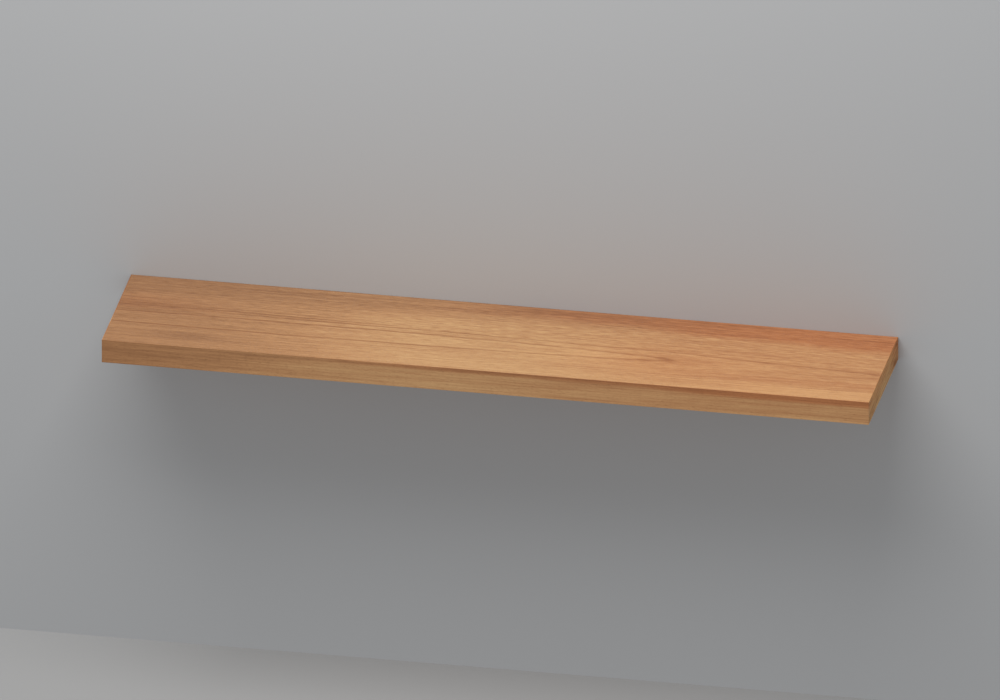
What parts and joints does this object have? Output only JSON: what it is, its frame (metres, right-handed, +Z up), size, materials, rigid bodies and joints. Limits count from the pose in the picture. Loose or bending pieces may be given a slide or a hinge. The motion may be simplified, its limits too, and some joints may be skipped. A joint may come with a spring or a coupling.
{
  "type": "floating wall shelf",
  "caption": "Straight floating wall shelf: a veneered hollow-core box that slides over steel rods on a hidden wall plate and is locked from below by grub screws.",
  "frame": {"origin": "middle of the wall plate's back face, which lies on the wall, at half the shelf's thickness", "axes": "+X along the shelf to the right as seen from the room, +Y into the wall, +Z up; the shelf reaches to Y = -0.24 m and the wall plugs and screws to Y = +0.056 m"},
  "size_m": [1.2, 0.296, 0.038],
  "materials": {
    "wood_veneer": "satin lacquered cherry-like veneer",
    "wood_banding": "satin lacquered cherry-like edge banding",
    "hardboard": "raw high-density fibreboard",
    "softwood": "planed softwood",
    "kraft_paper": "kraft paper honeycomb",
    "zinc_steel": "zinc-plated steel flat",
    "bright_steel": "bright drawn steel rod, zinc-plated",
    "weld_steel": "plated weld bead",
    "yellow_zinc": "yellow zinc screw",
    "nylon": "grey nylon",
    "brass": "turned brass",
    "black_steel": "black oxide steel"
  },
  "bodies": {
    "bracket": {"wall_plate": "zinc_steel", "rod_left": "bright_steel", "rod_middle": "bright_steel", "rod_right": "bright_steel", "weld_beads": "weld_steel", "wall_screws": "yellow_zinc", "wall_plugs": "nylon"},
    "shelf": {"top_veneer": "wood_veneer", "bottom_veneer": "wood_veneer", "front_edge_band": "wood_banding", "left_edge_band": "wood_banding", "right_edge_band": "wood_banding", "top_skin": "hardboard", "bottom_skin": "hardboard", "front_rail": "softwood", "rear_rail": "softwood", "left_end_rail": "softwood", "right_end_rail": "softwood", "guide_block_left": "softwood", "guide_block_middle": "softwood", "guide_block_right": "softwood", "honeycomb_far_left": "kraft_paper", "honeycomb_left": "kraft_paper", "honeycomb_right": "kraft_paper", "honeycomb_far_right": "kraft_paper", "threaded_inserts": "brass"},
    "left_lock": {"lock_screw_left": "black_steel"},
    "middle_lock": {"lock_screw_middle": "black_steel"},
    "right_lock": {"lock_screw_right": "black_steel"}
  },
  "joints": [
    {"name": "shelf_slide", "type": "slide", "parent": "bracket", "child": "shelf", "axis": [0, -1, 0], "range_m": [0, 0.16]},
    {"name": "left_lock_travel", "type": "slide", "parent": "shelf", "child": "left_lock", "axis": [0, 0, -1], "range_m": [0, 0.0025]},
    {"name": "middle_lock_travel", "type": "slide", "parent": "shelf", "child": "middle_lock", "axis": [0, 0, -1], "range_m": [0, 0.0025]},
    {"name": "right_lock_travel", "type": "slide", "parent": "shelf", "child": "right_lock", "axis": [0, 0, -1], "range_m": [0, 0.0025]}
  ]
}
